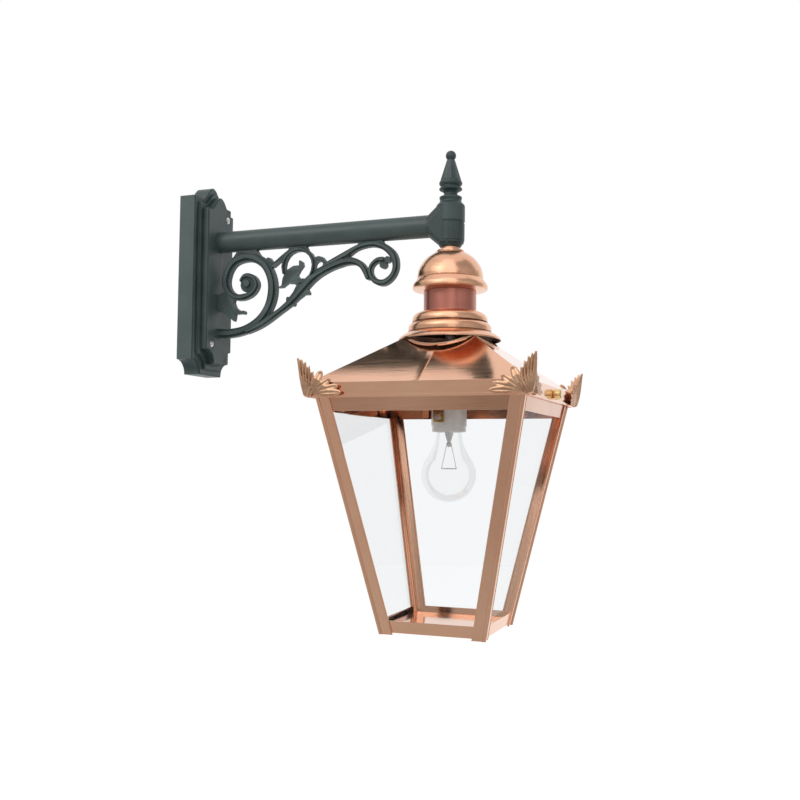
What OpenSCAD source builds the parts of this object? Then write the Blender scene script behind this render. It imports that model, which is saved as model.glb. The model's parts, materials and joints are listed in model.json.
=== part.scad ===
// Outdoor wall light: a four-sided copper lantern hung from a cast scroll bracket.
// The origin is the centre of the wall plate's back face. X points away from the wall
// along the arm, Z points up. All sizes are in millimetres.

/* [Wall plate] */
// Width of the wall plate at its back
plate_w = 83; // [70:1:110]
// Height of the wall plate from the crown of its top to its foot
plate_h = 230; // [210:1:260]
// Rise of the curved crown above the plate's upper corners
crown_rise = 18; // [12:1:26]
// Width of the curved crown
crown_w = 46; // [38:1:52]
// Radius of the hollows cut out of the plate's lower corners
foot_cove_r = 17; // [10:1:20]
// Thickness of the back tier
tier_back_t = 21; // [16:0.5:28]
// Thickness of the thin middle tier
tier_mid_t = 3; // [2:0.5:6]
// Thickness of the front tier
tier_front_t = 8; // [6:0.5:14]
// How far each tier stands in from the one behind it
tier_step = 6.5; // [4:0.5:8]
// Wall thickness of the hollow casting
plate_wall = 4; // [3:0.5:6]
// Small bevel along the front edge of each tier
tier_bevel = 1.2; // [0.5:0.1:2]

/* [Wall fixing] */
// Width of the flat strap inside the wall plate
strap_w = 48; // [42:1:54]
// Height of the strap
strap_h = 176; // [170:1:184]
// Thickness of the strap
strap_t = 2.5; // [2:0.5:4]
// Distance between the two wall screw holes in the strap
wall_hole_pitch = 120; // [80:1:130]
// Diameter of the wall screw holes
wall_hole_d = 6; // [4:0.5:8]
// Diameter of the cable hole in the middle of the strap
cable_hole_d = 20; // [12:1:24]
// Sideways place of the plate screws from the middle
plate_screw_y = 16; // [12:0.5:17]
// Height of the plate screws from the middle
plate_screw_z = 78; // [72:0.5:79]
// Thread diameter of the plate screws
plate_screw_d = 5; // [4:0.5:6]
// Head diameter of the plate screws
plate_screw_head_d = 8.4; // [7.5:0.1:9]

/* [Arm] */
// Height of the arm's axis above the middle of the wall plate
arm_rise = 47; // [42:1:52]
// Distance from the wall to the lantern's axis
reach = 324; // [305:1:345]
// Outside diameter of the arm tube
arm_d = 25.4; // [22:0.1:27]
// Wall thickness of the arm tube
arm_wall = 2.2; // [1.5:0.1:3]
// Diameter of the upright fitting at the end of the arm
sleeve_d = 32; // [30:0.5:36]
// Diameter of the hanger tube that carries the lantern
hanger_d = 10; // [9:0.1:11]
// Wall thickness of the hanger tube
hanger_wall = 1.3; // [1:0.1:1.6]

/* [Scroll] */
// Thickness of the scroll casting at the ridge of its limbs
scroll_t = 12; // [9:0.5:15]
// Thickness of the scroll casting at the edges of its limbs
scroll_edge_t = 7; // [5:0.5:8]
// Width of the ridge as a share of the width of its limb
ridge_share = 0.42; // [0.3:0.01:0.6]

/* [Chimney] */
// Radius of the flat collar on top of the dome
collar_r = 15.7; // [14:0.1:17]
// Largest radius of the dome above its lip
dome_r = 36.5; // [34:0.5:38]
// Radius of the dome's rolled lip
dome_lip_r = 41.6; // [40:0.1:44]
// Radius of the plain drum under the dome
drum_r = 29; // [26:0.5:31]
// Height of drum that shows between the dome and the skirt
drum_gap = 22.7; // [18:0.1:28]
// Radius of the upper ring of the skirt
ring_upper_r = 41.5; // [39:0.5:43]
// Radius of the lower ring of the skirt
ring_lower_r = 45.8; // [44.5:0.1:48]
// Radius of the brim that rests on the roof
brim_r = 56.2; // [53:0.1:58]
// Thickness of the spun and folded copper sheet
sheet_t = 1; // [0.8:0.1:1.2]

/* [Roof] */
// Width of the lantern across its eaves
eave_w = 230.6; // [222:0.2:240]
// Slope of the roof in degrees
roof_slope = 34.8; // [32:0.1:37]
// Radius of the round vent hole in the roof
vent_r = 53.5; // [51:0.1:55]
// Depth of the upright band round the eaves
fascia_h = 15.8; // [14:0.1:18]
// Depth of the bead along the foot of the band
bead_h = 2.6; // [2:0.1:3.4]
// How far the bead stands out
bead_out = 1.2; // [0.8:0.1:1.6]

/* [Corner leaves] */
// Height of the leaf's tip above the foot of the band
leaf_h = 41.5; // [36:0.5:48]
// How far the tip stands out past the corner, on each face
leaf_out = 9.5; // [7:0.5:12]
// Length of the leaf's side wings along the band
wing_len = 38; // [32:1:44]

/* [Glazed body] */
// How far the posts stand inside the eaves at the top of the body
body_inset = 6.3; // [5.5:0.1:9]
// Width across the posts at the foot of the body
body_foot_w = 114; // [104:0.5:124]
// Height of the body below the band
body_h = 243.5; // [225:0.5:260]
// Width of each flange of the corner posts
post_flange = 13.5; // [12:0.5:16]
// Radius of the rounded nose of the corner posts
post_nose_r = 2.2; // [1.8:0.1:2.6]
// Depth of the rails at the top of the body
top_rail_h = 13.2; // [11:0.1:16]
// Depth of the rails at the foot of the body
foot_rail_h = 12.8; // [11:0.1:16]
// Thickness of the glass
glass_t = 3; // [2:0.5:4]

/* [Hinge and catch] */
// Length of the hinge
hinge_len = 64; // [40:1:80]
// Radius of the hinge knuckles
knuckle_r = 2.6; // [2.2:0.1:2.8]
// Radius of the hinge pin
pin_r = 1.3; // [1:0.1:1.5]
// Diameter of the thumb screw's knurled head
knob_d = 11; // [10:0.5:12.5]
// Length of the thumb screw's head
knob_len = 8.5; // [7:0.5:10]
// Thread diameter of the thumb screw
knob_thread_d = 4.8; // [4:0.1:5.5]

/* [Lamp] */
// Height of the lamp's tip above the foot of the body
lamp_clear = 135; // [125:1:150]
// Largest diameter of the lamp's glass
lamp_d = 60; // [55:0.5:65]
// Outside diameter of the lampholder
holder_d = 39; // [37:0.5:42]
// Height of the lampholder
holder_h = 43; // [40:0.5:46]

/* [Hidden] */

// Clearances and small shared sizes
eps = 0.01;
slip = 0.05;       // radial clearance of turning fits
seat = 0.3;        // clearance beside moving or fragile pieces
glass_gap = 0.3;   // between the rails and the glass

// Places along the wall plate
front_x = tier_back_t + tier_mid_t + tier_front_t;
arm_z = arm_rise;

// Heights on the lantern's axis, from the arm down
fitting_foot_z = arm_z - 25.4;
neck_h = 3.6;
collar_t = 3;
dome_top_z = fitting_foot_z - neck_h - collar_t;
dome_h = 28.5;
lip_h = 14.8;
dome_foot_z = dome_top_z - dome_h - lip_h;
skirt_top_z = dome_foot_z - drum_gap;
skirt_h = 32;
brim_z = skirt_top_z - skirt_h;

// Roof: the brim rests on the four hips, which fixes the height of the roof planes
roof_pitch = tan(roof_slope);
apex_z = brim_z + brim_r / sqrt(2) * roof_pitch;
eave = eave_w / 2;
eave_z = apex_z - eave * roof_pitch;
band_foot_z = eave_z - fascia_h;
sheet_drop = sheet_t / cos(roof_slope);

// Body: half widths of the sloping faces
body_top = eave - body_inset;
body_foot = body_foot_w / 2;
body_foot_z = band_foot_z - body_h;
batter = (body_top - body_foot) / body_h;
face_tilt = atan(batter);
function half_at(z) = body_foot + (z - body_foot_z) * batter;
post_t = 1.2;
rail_t = 1.2;
rail_in = post_t;
glass_in = post_t + rail_t + glass_gap;
flange_z = band_foot_z + 1.6;
flange_t = 1;
flange_half = eave - sheet_t - 0.5;

// Hinge axis, just under the band on the wall side
hinge_x = reach - (eave - sheet_t) + 0.6;
hinge_z = band_foot_z - knuckle_r - 0.1;
hinge_leaf_t = 1.2;
hinge_leaf_h = 12.5;

// Catch: the thumb screw in the middle of the front band
knob_z = band_foot_z + fascia_h / 2;
front_in = reach + eave - sheet_t;
lug_t = 0.8;
lug_x = front_in - 0.8 - lug_t;
catch_x = lug_x - seat;
catch_t = 2;

// Lampholder and lamp
lamp_tip_z = body_foot_z + lamp_clear;
lamp_r = lamp_d / 2;
cap_len = 27;
glass_len = 78;
cap_foot_z = lamp_tip_z + glass_len;
holder_foot_z = cap_foot_z - 1.5;
holder_top_z = holder_foot_z + holder_h;
cap_r = 13.2;
bracket_t = 1.5;
bracket_turn = 73;   // from the arm to the bracket's legs, in degrees
bar_t = 3;
bar_half = 69.5;   // half length of the crossbar, where it meets the roof planes
bar_z = apex_z - bar_half * roof_pitch - sheet_drop;
nut_h = 5;

paint = [0.25, 0.30, 0.30];
copper = [0.83, 0.56, 0.43];
brass = [0.78, 0.62, 0.32];
steel = [0.75, 0.76, 0.77];
ceramic = [0.88, 0.88, 0.85];
glass = [0.85, 0.92, 0.92, 0.35];

// A smooth curve through a few chosen points, with n steps between two of them
function spline_at(a, b, c, d, t) = 0.5 * (2 * b + (c - a) * t + (2 * a - 5 * b + 4 * c - d) * t * t
    + (3 * b - a - 3 * c + d) * t * t * t);
function smooth(p, n) = [for (i = [0 : len(p) - 2], k = [0 : n - 1])
        spline_at(p[max(i - 1, 0)], p[i], p[i + 1], p[min(i + 2, len(p) - 1)], k / n),
    p[len(p) - 1]];
function unit(v) = v / norm(v);
function heading(p, i) = unit([p[min(i + 1, len(p) - 1)].x - p[max(i - 1, 0)].x,
    p[min(i + 1, len(p) - 1)].y - p[max(i - 1, 0)].y]);

// Wall plate

// Half of a tier's outline, drawn in from the back tier's outline by a step
function plate_half(step) =
    let (hw = plate_w / 2 - step, top = plate_h / 2 - step, foot = -plate_h / 2 + step, cove = foot_cove_r)
    let (crown = min(crown_w / 2, hw))
    concat(
        [for (a = [0 : 15 : 90]) [hw - cove * cos(a), foot + cove * sin(a)]],
        [[hw, top - crown_rise]],
        [for (i = [9 : -1 : 0]) [crown * i / 10, top - crown_rise * (1 - cos(18 * i)) / 2]]);
function mirrored(p) = concat(p, [for (i = [len(p) - 2 : -1 : 0]) [-p[i].x, p[i].y]]);

module plate_tier(step, x0, x1) {
    translate([x0, 0, 0]) rotate([90, 0, 90]) linear_extrude(x1 - x0) polygon(mirrored(plate_half(step)));
}

module bevelled_tier(step, x0, x1) {
    plate_tier(step, x0, x1 - tier_bevel);
    plate_tier(step + tier_bevel / 2, x1 - tier_bevel, x1 - tier_bevel / 2);
    plate_tier(step + tier_bevel, x1 - tier_bevel / 2, x1);
}

module screw_places() {
    for (s = [1, -1]) translate([0, s * plate_screw_y, s * plate_screw_z]) rotate([0, 90, 0]) children();
}

module wall_plate() {
    head_r = plate_screw_head_d / 2;
    color(paint) difference() {
        union() {
            difference() {
                union() {
                    bevelled_tier(0, 0, tier_back_t);
                    bevelled_tier(tier_step, tier_back_t, tier_back_t + tier_mid_t);
                    bevelled_tier(2 * tier_step, tier_back_t + tier_mid_t, front_x);
                }
                plate_tier(plate_wall, -1, tier_back_t - plate_wall);
                plate_tier(2 * tier_step + plate_wall, 0, front_x - plate_wall);
            }
            intersection() {
                screw_places() translate([0, 0, strap_t]) cylinder(r = head_r + 2.6, h = front_x - strap_t - 1);
                plate_tier(2 * tier_step + 1, strap_t, front_x);
            }
        }
        screw_places() {
            cylinder(r = plate_screw_d / 2 + 0.2, h = front_x + 1);
            translate([0, 0, front_x - 1.5]) cylinder(r = head_r + 0.8, h = 2);
        }
        translate([0, 0, arm_z]) rotate([0, 90, 0]) cylinder(d = arm_d, h = front_x + 1);
    }
}

module mounting_strap() {
    color(steel) difference() {
        translate([0, -strap_w / 2, -strap_h / 2]) cube([strap_t, strap_w, strap_h]);
        for (s = [1, -1]) translate([-1, 0, s * wall_hole_pitch / 2]) rotate([0, 90, 0])
            cylinder(d = wall_hole_d, h = strap_t + 2);
        translate([-1, 0, 0]) rotate([0, 90, 0]) cylinder(d = cable_hole_d, h = strap_t + 2);
        screw_places() translate([0, 0, -1]) cylinder(d = plate_screw_d, h = strap_t + 2);
    }
}

module plate_screws() {
    color(steel) screw_places() {
        cylinder(d = plate_screw_d, h = front_x - 1.5);
        difference() {
            translate([0, 0, front_x - 1.5]) intersection() {
                cylinder(d = plate_screw_head_d, h = 2.6);
                translate([0, 0, -5.2]) sphere(r = 7.8);
            }
            for (a = [0, 90]) rotate(a) translate([-2.4, -0.5, front_x]) cube([4.8, 1, 3]);
        }
    }
}

// Terminal block: three ways, screwed to the inside of the front wall below the arm
block_w = 26;
block_h = 18;
block_z = -28;

module terminal_block() {
    color(ceramic) translate([front_x - plate_wall - 14, 0, block_z]) difference() {
        translate([0, -block_w / 2, -block_h / 2]) cube([14, block_w, block_h]);
        for (y = [-8, 0, 8]) {
            translate([6, y, -block_h]) cylinder(d = 4.4, h = 2 * block_h);
            for (z = [-5, 5]) translate([-1, y, z]) rotate([0, 90, 0]) cylinder(d = 4, h = 6);
        }
    }
}

module terminal_screws() {
    color(brass) translate([front_x - plate_wall - 14, 0, block_z])
        for (y = [-8, 0, 8], z = [-5, 5]) translate([1, y, z]) rotate([0, 90, 0]) difference() {
            cylinder(d = 4, h = 3.6);
            translate([-2.5, -0.4, -0.1]) cube([5, 0.8, 1]);
        }
}

// Arm, fitting and finial
arm_start_x = front_x - plate_wall - 3;
arm_end_x = reach - sleeve_d / 2 + 3;

module arm_tube() {
    color(paint) translate([arm_start_x, 0, arm_z]) rotate([0, 90, 0]) difference() {
        cylinder(d = arm_d, h = arm_end_x - arm_start_x);
        translate([0, 0, -1]) cylinder(d = arm_d - 2 * arm_wall, h = arm_end_x - arm_start_x + 2);
    }
}

module arm_fitting() {
    sr = sleeve_d / 2;
    flare_len = sr + 8;
    flare_half = 21;
    color(paint) difference() {
        union() {
            translate([reach, 0, arm_z]) rotate_extrude($fn = 64) polygon([[0, -25.4], [sr - 4.8, -25.4],
                [sr - 3.6, -24], [sr - 0.4, -18], [sr - 0.2, 0.4], [sr - 0.9, 1], [sr - 0.9, 2.6],
                [sr, 3.2], [sr, 20.6], [sr - 1, 22.4], [sr - 3.2, 24.2], [sr - 4.2, 27], [sr - 3.4, 29.8],
                [sr - 3.6, 31], [sr - 4.6, 31.4], [0, 31.4]]);
            hull() {
                translate([reach - flare_len, 0, arm_z]) rotate([0, 90, 0])
                    cylinder(r = arm_d / 2 + 0.6, h = 1, $fn = 32);
                translate([reach, 0, arm_z - flare_half]) cylinder(r = sr - 1, h = 2 * flare_half, $fn = 32);
            }
        }
        translate([arm_end_x - 30, 0, arm_z]) rotate([0, 90, 0]) cylinder(d = arm_d, h = 30);
        translate([arm_end_x - 1, 0, arm_z]) rotate([0, 90, 0])
            cylinder(d = arm_d - 2 * arm_wall - 4, h = reach - arm_end_x + 1);
        translate([reach, 0, arm_z - 12]) cylinder(r = 8, h = 20);
        translate([reach, 0, fitting_foot_z - 1]) cylinder(d = hanger_d, h = 20);
        translate([reach, 0, arm_z + 7]) cylinder(d = 8, h = 30);
    }
}

module finial() {
    cone_faces = 10;
    color(paint) translate([reach, 0, arm_z + 31.4]) {
        translate([0, 0, -16]) cylinder(d = 8, h = 17);
        rotate_extrude($fn = 48) polygon([[0, 0], [8.8, 0], [7.7, 2], [7.5, 4], [9, 6], [12.4, 7.6],
            [13, 8.6], [12.4, 9.6], [10.9, 11], [10.7, 12], [12.4, 13.4], [13, 15], [12.6, 16.6],
            [11.5, 18.2], [0, 18.2]]);
        translate([0, 0, 18.2]) cylinder(r1 = 12, r2 = 4.8, h = 23, $fn = cone_faces);
        translate([0, 0, 41]) cylinder(r1 = 4.4, r2 = 3.8, h = 2);
        translate([0, 0, 46.6]) sphere(r = 5.8, $fn = 32);
    }
}

// Hanger: a threaded tube that clamps the chimney and the roof to the fitting
hanger_top_z = arm_z - 8;
hanger_foot_z = holder_top_z;

module hanger_tube() {
    color(steel) translate([reach, 0, hanger_foot_z]) difference() {
        cylinder(d = hanger_d, h = hanger_top_z - hanger_foot_z);
        translate([0, 0, -1]) cylinder(d = hanger_d - 2 * hanger_wall, h = hanger_top_z - hanger_foot_z + 2);
    }
}

module hex_nut(z) {
    translate([reach, 0, z]) difference() {
        cylinder(d = 1.75 * hanger_d, h = nut_h, $fn = 6);
        translate([0, 0, -1]) cylinder(d = hanger_d, h = nut_h + 2);
    }
}

module hanger_nuts() {
    color(steel) {
        hex_nut(bar_z - bar_t - nut_h);
        hex_nut(holder_top_z + bracket_t);
    }
}

// Scroll casting. Its outlines are in the plane of the arm, x from the wall and y from the arm's axis.

// A limb of changing width along a smooth curve of [x, y, half width]
function limb_edge(p, side, share) = [for (i = [0 : len(p) - 1])
    let (h = heading(p, i)) [p[i].x - side * h.y * p[i][2] * share, p[i].y + side * h.x * p[i][2] * share]];
function backwards(p) = [for (i = [len(p) - 1 : -1 : 0]) p[i]];
function round_end(e, h, share) = [for (a = [60 : -30 : -60])
    [e.x + e[2] * share * (h.x * cos(a) - h.y * sin(a)), e.y + e[2] * share * (h.y * cos(a) + h.x * sin(a))]];
module limb_shape(p, share) {
    last = len(p) - 1;
    polygon(concat(limb_edge(p, 1, share), round_end(p[last], heading(p, last), share),
        backwards(limb_edge(p, -1, share)), round_end(p[0], -heading(p, 0), share)));
}

saddle_y = arm_d / 2 - 2.4;
foot_limb = [[front_x, -111.1, 5.7], [48.5, -111.6, 5.4], [68.6, -108.1, 5.1], [86.7, -98.5, 5.3],
    [98.8, -84, 5.4], [104.3, -66.9, 5.7], [103.3, -48.7, 5.4], [94.8, -31.6, 5.3],
    [80.7, -22.1, 5.6], [66.6, -20.1, 6.1], [52.5, -25.1, 5.4], [44, -36.7, 5], [41.4, -50.8, 4.9],
    [46.5, -61.8, 4], [56.5, -68.2, 3.8], [68.6, -67.9, 3.7], [78.7, -63.3, 3], [83.7, -54.8, 2.6],
    [80.2, -46.7, 2.5], [72.6, -43.2, 3.1], [66.1, -43.7, 2.7], [62.6, -48.2, 2.2]];
stem_limb = [[72, -110, 3], [84, -105, 3.8], [96.8, -98.3, 4.2], [114.9, -87.4, 3.4], [130, -76.4, 4.4],
    [143, -63.3, 5.3], [155.1, -51.3, 5.5], [167.2, -43.7, 5.1], [181.3, -37.7, 4.9],
    [195.4, -33.2, 5.6]];
stem_lower = [[187.3, -35.7, 4.1], [199.4, -33.2, 4.8], [210.4, -34.5, 3.8], [218.5, -39.2, 3.4],
    [223.5, -46.7, 3.3], [226.5, -53.8, 2.9]];
stem_upper = [[172.5, -36.8, 2.8], [187.3, -31, 3.8], [199.4, -25.5, 4], [211.4, -19.1, 3], [223.5, -15.8, 3.3],
    [235.6, -15.8, 3.4], [247.7, -20.6, 3.8], [257.2, -30.1, 4.2], [260.3, -42.7, 3.5],
    [256.2, -53.8, 3.3], [246.2, -60.8, 3.6], [235.6, -58.3, 3.2], [229.6, -49.8, 2.7],
    [230.6, -40.7, 2.5], [237.6, -34.7, 2.8], [244.6, -34.7, 3.5]];
leaf_ring = [for (a = [-20 : 20 : 200]) [138.2 + 19.8 * cos(a), -35.3 + 19.8 * sin(a), 2.2]];
ring_tail = [[157.1, -41.7, 2.2], [152.1, -51.8, 2.2], [144.1, -60.8, 2.3]];
ring_link = [[127, -16.6, 2.2], [116.9, -23.6, 2.2], [104.8, -32.7, 2.2]];
small_ring = [[156.5, -44], [157.5, -31], [160, -26.2], [164.5, -25.2], [169.4, -26.6], [173, -31.2],
    [174.4, -36], [171, -42], [164, -46]];

module volute_boss() {
    translate([71.6, -53.8]) circle(r = 9.6, $fn = 32);
}

// The sprig beside the plate, a three-pointed leaf
sprig = [[front_x, -64], [45, -60], [54, -68], [52.6, -74.6], [55.1, -80.4], [61.3, -85.2], [65.1, -85.6],
    [65.2, -88.5], [55.1, -88.9], [54.3, -95.2], [53.3, -97.3], [51.1, -95.4], [45.6, -91.4],
    [front_x, -82.6]];
// The flower inside the leaf ring, with a curled tip and a point that reaches the big scroll
flower = [[111.6, -59.7], [117.4, -59.7], [124, -55.2], [131.4, -55.8], [135.5, -57.7],
    [145.9, -53.3], [147.1, -50.6], [139.6, -50.3], [136.8, -45.7], [140.1, -40.3], [144, -35.5],
    [143.2, -31], [140.4, -28.6], [139.2, -29.9], [139.3, -34.6], [131.9, -34.8], [125, -38.6],
    [120.9, -43.1], [118, -48.9], [116.8, -57.2]];
// The sheath of leaves where the ring leaves the stem
sheath = [[123.2, -76.7], [123.5, -71.8], [126.6, -72.5], [131.9, -66.2], [136.5, -57.8],
    [143.6, -56.4], [149.3, -61.2], [153, -67.4], [152.6, -69.8], [146.2, -69.7], [137.2, -75.8],
    [131.4, -78.3], [125.4, -80.3]];

module scroll_base() {
    limb_shape(smooth(foot_limb, 4), 1);
    limb_shape(smooth(stem_limb, 3), 1);
    limb_shape(smooth(stem_lower, 3), 1);
    limb_shape(smooth(stem_upper, 3), 1);
    limb_shape(leaf_ring, 1);
    limb_shape(smooth(ring_tail, 3), 1);
    limb_shape(smooth(ring_link, 2), 1);
    volute_boss();
    polygon(sprig);
    translate([65.8, -87]) circle(r = 2.3, $fn = 20);
    polygon(flower);
    polygon(sheath);
    translate([131.4, -79.8]) circle(r = 2.8, $fn = 20);
    translate([125.6, -73.6]) circle(r = 2.5, $fn = 20);
    polygon([[94, -29], [97, -22.6], [100.5, -23.2], [104.5, -28.6], [102, -36]]);
    difference() {
        polygon(small_ring);
        translate([165.4, -36.8]) circle(r = 5.4, $fn = 24);
    }
    polygon([[58, -saddle_y], [81, -saddle_y], [87, -19], [66, -22], [51, -20]]);
    polygon([[126, -saddle_y], [147, -saddle_y], [151, -18], [138, -17], [125, -17]]);
    polygon([[217.5, -saddle_y], [243, -saddle_y], [247, -17.4], [230, -17], [212, -16.6]]);
    translate([245.2, -40.4]) circle(r = 4.3, $fn = 20);
    translate([250.3, -34.6]) circle(r = 3.7, $fn = 20);
}

module scroll_ridges() {
    limb_shape(smooth(foot_limb, 4), ridge_share);
    limb_shape(smooth(stem_limb, 3), ridge_share);
    limb_shape(smooth(stem_lower, 3), ridge_share);
    limb_shape(smooth(stem_upper, 3), ridge_share);
    limb_shape(leaf_ring, ridge_share);
    limb_shape(smooth(ring_tail, 3), ridge_share);
    translate([71, -52.6]) circle(r = 4, $fn = 24);
}

module scroll_casting() {
    color(paint) translate([0, 0, arm_z]) difference() {
        rotate([90, 0, 0]) {
            translate([0, 0, -scroll_edge_t / 2]) linear_extrude(scroll_edge_t) scroll_base();
            translate([0, 0, -scroll_t / 2]) linear_extrude(scroll_t) scroll_ridges();
        }
        rotate([0, 90, 0]) cylinder(d = arm_d, h = reach);
        translate([0, -scroll_t, -plate_h]) cube([front_x, 2 * scroll_t, 2 * plate_h]);
    }
}

// Chimney

// A spun shell: the outer line of [radius, height], thickened inwards by the sheet
module spun(outer, inner, z) {
    translate([reach, 0, z]) rotate_extrude($fn = 96) polygon(concat(outer, backwards(inner)));
}

module neck_collar() {
    color(copper) translate([reach, 0, dome_top_z]) difference() {
        union() {
            cylinder(r = 9.6, h = collar_t + neck_h);
            cylinder(r = collar_r, h = collar_t - 0.8);
            cylinder(r = collar_r - 0.8, h = collar_t);
        }
        translate([0, 0, -1]) cylinder(d = hanger_d, h = 20);
    }
}

module chimney_dome() {
    crown = [for (a = [62 : -6 : 2]) [dome_r * cos(a), -dome_h + dome_h / sin(62) * sin(a)]];
    lip_top = -dome_h;
    lip = [[dome_r, lip_top], [dome_r - 0.5, lip_top - 0.8], [dome_r + 0.6, lip_top - 1.8],
        [dome_r + 2.6, lip_top - 4.6], [dome_lip_r - 0.6, lip_top - 7.4], [dome_lip_r, lip_top - 9.6],
        [dome_lip_r - 0.1, lip_top - 12], [dome_lip_r - 1.2, lip_top - 13.2]];
    outer = concat([[hanger_d / 2, 0]], crown, lip, [[drum_r - 1.2, -dome_h - lip_h]]);
    inner = concat([[hanger_d / 2, -sheet_t]], [for (q = crown) [q.x - 0.9 * sheet_t, q.y - sheet_t]],
        [for (q = lip) [q.x - sheet_t, q.y + 0.1]], [[drum_r - 1.2, -dome_h - lip_h + sheet_t]]);
    color(copper) spun(outer, inner, dome_top_z);
}

module chimney_drum() {
    color(copper) translate([reach, 0, skirt_top_z]) difference() {
        cylinder(r = drum_r, h = drum_gap, $fn = 96);
        translate([0, 0, -1]) cylinder(r = drum_r - sheet_t, h = drum_gap + 2, $fn = 96);
    }
}

module chimney_skirt() {
    upper = [for (a = [80 : -16 : 0]) [drum_r + (ring_upper_r - drum_r) * cos(a), -9 + 9 * sin(a)]];
    lower = [for (a = [60 : -15 : 0]) [ring_upper_r - 0.6 + (ring_lower_r - ring_upper_r + 0.6) * cos(a),
        -19 + 6 * sin(a)]];
    outer = concat([[drum_r - sheet_t, 0]], upper, [[ring_upper_r, -11.4], [ring_upper_r - 0.8, -12.2]],
        lower, [[ring_lower_r, -22.2], [ring_lower_r - 0.6, -23], [ring_lower_r + 2, -24],
        [ring_lower_r + 5.6, -26], [brim_r - 1.4, -28.6], [brim_r, -30.2], [brim_r, -skirt_h]]);
    inner = concat([[drum_r - sheet_t, -sheet_t]], [for (q = upper) [q.x - 0.6 * sheet_t, q.y - sheet_t]],
        [[ring_upper_r - sheet_t, -11.4], [ring_upper_r - 1.8, -12.4]],
        [for (q = lower) [q.x - 0.8 * sheet_t, q.y - 0.7 * sheet_t]],
        [[ring_lower_r - sheet_t, -22.2], [ring_lower_r - 1.6, -23.4], [ring_lower_r + 1.6, -24.8],
        [ring_lower_r + 5.2, -26.9], [brim_r - 2, -29.4],
        [brim_r - sheet_t, -30.6], [brim_r - sheet_t, -skirt_h]]);
    color(copper) spun(outer, inner, skirt_top_z);
}

// Roof

// A square pyramid's lower part under the roof planes, sunk by a drop
module roof_mass(drop, half) {
    cut = 30;
    translate([reach, 0, apex_z - half * roof_pitch - drop])
        linear_extrude((half - cut) * roof_pitch, scale = cut / half) square(2 * half, center = true);
}

module square_ring(half, wall, z0, z1) {
    translate([reach, 0, z0]) linear_extrude(z1 - z0) difference() {
        square(2 * half, center = true);
        square(2 * (half - wall), center = true);
    }
}

module roof() {
    lap_w = 8;
    lap_t = 0.9;
    lap_len = 84;
    color(copper) difference() {
        union() {
            difference() {
                roof_mass(0, eave);
                roof_mass(sheet_drop, eave + 1);
            }
            square_ring(eave, sheet_t, band_foot_z, eave_z);
            square_ring(eave + bead_out, sheet_t + bead_out, band_foot_z, band_foot_z + bead_h);
            for (s = [1, -1]) translate([reach, s * eave, eave_z]) rotate([-s * roof_slope, 0, 0])
                translate([0, s > 0 ? 0 : lap_len, 0]) rotate([90, 0, 0]) linear_extrude(lap_len)
                    polygon([[-lap_w / 2, -0.2], [lap_w / 2, -0.2], [lap_w / 2, lap_t], [-lap_w / 2, 0]]);
            intersection() {
                difference() {
                    roof_mass(-1.6, eave);
                    roof_mass(sheet_drop + 0.8, eave + 1);
                }
                translate([reach, 0, brim_z - 40]) cylinder(r = vent_r + 1.4, h = 60, $fn = 96);
            }
        }
        translate([reach, 0, brim_z - 60]) cylinder(r = vent_r - 1.2, h = 100, $fn = 96);
        translate([reach, 0, brim_z]) cylinder(r = brim_r + 6, h = 40);
        translate([reach + eave - 3, 0, knob_z]) rotate([0, 90, 0]) cylinder(d = knob_thread_d + 0.6, h = 6);
    }
}

module roof_crossbar() {
    bar_w = 20;
    color(steel) difference() {
        intersection() {
            translate([reach - bar_w / 2, -eave, bar_z - bar_t]) cube([bar_w, eave_w, bar_t]);
            roof_mass(sheet_drop, eave + 1);
        }
        translate([reach, 0, bar_z - bar_t - 1]) cylinder(d = hanger_d, h = bar_t + 2);
    }
}

// Corner leaves, in a frame whose corner is the origin and whose faces run along +X and +Y: a folded
// blade that leans out along the corner, and a wing of four arched fingers on each face

blade_foot = 3.2;   // how far the fold stands out of the corner at its foot
// Along the blade: the share of its height, and its width on each side
blade_line = [[0, 6], [0.45, 8.5], [0.8, 10.6], [0.92, 8.4], [1, 0.8]];
// The fingers: the tip along the band and up the face, the rise of the arch, the widest radius
fingers = [[1, 4.8, 1, 3.3], [0.9, 11, 3.4, 3.4], [0.68, 17.5, 3.4, 3.3], [0.46, 26, 1.2, 3]];

function lean(share) = blade_foot + (leaf_out - blade_foot) * share;

module blade_spot(share, width) {
    out = lean(share);
    translate([-out + width, -out + width * 0.1, share * (leaf_h - 1)]) sphere(r = 0.9, $fn = 6);
}

module blade_side() {
    for (i = [0 : len(blade_line) - 2]) hull() for (k = [i, i + 1]) {
        blade_spot(blade_line[k][0], 0);
        blade_spot(blade_line[k][0], blade_line[k][1]);
    }
}

// A finger along a curve from the root to the tip, raised by its arch and rolled out at the end
module leaf_finger(tip, arch, fat) {
    root = [3, 4.5];
    sizes = [0.55, 0.95, 1, 0.8];
    function spot(t) = [root.x + (tip.x - root.x) * t, -1.4 - 1.6 * t * t,
        root.y + (tip.y - root.y) * t + 4 * arch * t * (1 - t)];
    for (i = [0 : 2]) hull() for (k = [i, i + 1])
        translate(spot(k / 3)) sphere(r = fat * sizes[k], $fn = 8);
}

module leaf_side() {
    blade_side();
    for (f = fingers) leaf_finger([f[0] * (wing_len - 2), f[1]], f[2], f[3]);
}

module corner_leaf() {
    difference() {
        union() {
            leaf_side();
            mirror([1, -1, 0]) leaf_side();
        }
        translate([-wing_len, -wing_len, -leaf_h]) cube([3 * wing_len, 3 * wing_len, leaf_h]);
    }
}

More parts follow.
